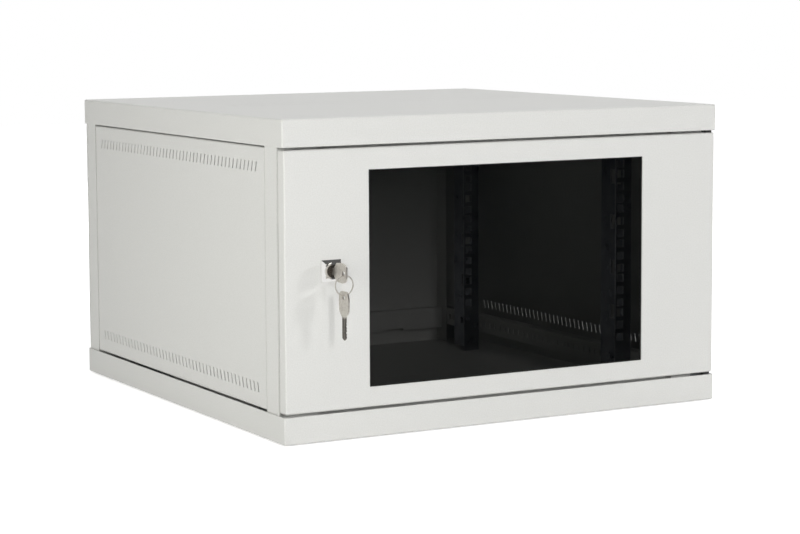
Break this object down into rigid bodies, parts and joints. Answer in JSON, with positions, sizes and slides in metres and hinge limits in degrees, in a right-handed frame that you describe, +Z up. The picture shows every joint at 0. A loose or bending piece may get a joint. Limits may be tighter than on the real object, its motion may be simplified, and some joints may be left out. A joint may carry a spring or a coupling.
{
  "type": "wall mount network cabinet",
  "caption": "Wall-mounted sheet steel cabinet for rack-mounted network equipment, with a lockable smoked glass door, vented side panels and drilled rails.",
  "frame": {"origin": "centre of the base tray's underside, on the surface that the cabinet stands on", "axes": "+Z up, -Y out of the front door, +Y towards the wall, +X to the hinge side (the right, seen from the front)"},
  "size_m": [0.6, 0.6444, 0.37],
  "materials": {
    "painted_steel": "fine textured powder coat, light grey",
    "zinc_plated_steel": "bright zinc plating",
    "spring_steel": "plain spring steel",
    "smoked_glass": "smoked, clear and flat",
    "black_rubber": "matt",
    "nylon": "matt",
    "chrome": "polished",
    "dark_lock_metal": "dark, satin",
    "nickel_key": "nickel plated, satin"
  },
  "bodies": {
    "cabinet": {"top_cover": "painted_steel", "base_tray": "painted_steel", "back_panel": "painted_steel", "front_post_left": "painted_steel", "front_post_right": "painted_steel", "rear_post_left": "painted_steel", "rear_post_right": "painted_steel", "cross_bar_lower": "painted_steel", "cross_bar_upper": "painted_steel", "front_bar_lower": "painted_steel", "front_bar_upper": "painted_steel", "depth_bar_right_lower": "painted_steel", "depth_bar_right_upper": "painted_steel", "depth_bar_left_lower": "painted_steel", "depth_bar_left_upper": "painted_steel", "front_rail_right": "zinc_plated_steel", "front_rail_left": "zinc_plated_steel", "rear_rail_right": "zinc_plated_steel", "rear_rail_left": "zinc_plated_steel", "rail_bolts": "zinc_plated_steel", "rail_nuts": "zinc_plated_steel", "side_panel_left": "painted_steel", "side_panel_right": "painted_steel", "panel_clips": "spring_steel", "hinge_bracket_lower": "zinc_plated_steel", "hinge_bracket_upper": "zinc_plated_steel", "hinge_pins": "zinc_plated_steel", "door_bumpers": "black_rubber"},
    "door": {"door_shell": "painted_steel", "door_glass": "smoked_glass", "glass_seal": "black_rubber", "glass_clips": "zinc_plated_steel", "clip_nuts": "zinc_plated_steel", "hinge_bushes": "nylon", "lock_housing": "chrome", "lock_clip": "spring_steel"},
    "lock": {"lock_plug": "dark_lock_metal", "lock_cam": "zinc_plated_steel", "cam_screw": "zinc_plated_steel", "key_in_lock": "nickel_key"},
    "ring": {"key_ring": "nickel_key"},
    "spare": {"spare_key": "nickel_key"}
  },
  "joints": [
    {"name": "door_hinge", "type": "hinge", "parent": "cabinet", "child": "door", "pos_m": [0.291, -0.293, 0.185], "axis": [0, 0, 1], "range_deg": [0, 180]},
    {"name": "lock_turn", "type": "hinge", "parent": "door", "child": "lock", "pos_m": [-0.24, -0.29, 0.1965], "axis": [0, 1, 0], "range_deg": [0, 90]},
    {"name": "key_ring_swing", "type": "hinge", "parent": "lock", "child": "ring", "pos_m": [-0.24, -0.33297, 0.19451], "axis": [1, 0, 0], "range_deg": [-90, 10]},
    {"name": "spare_key_swing", "type": "hinge", "parent": "ring", "child": "spare", "pos_m": [-0.24, -0.33297, 0.17191], "axis": [1, 0, 0], "range_deg": [-90, 15]}
  ]
}
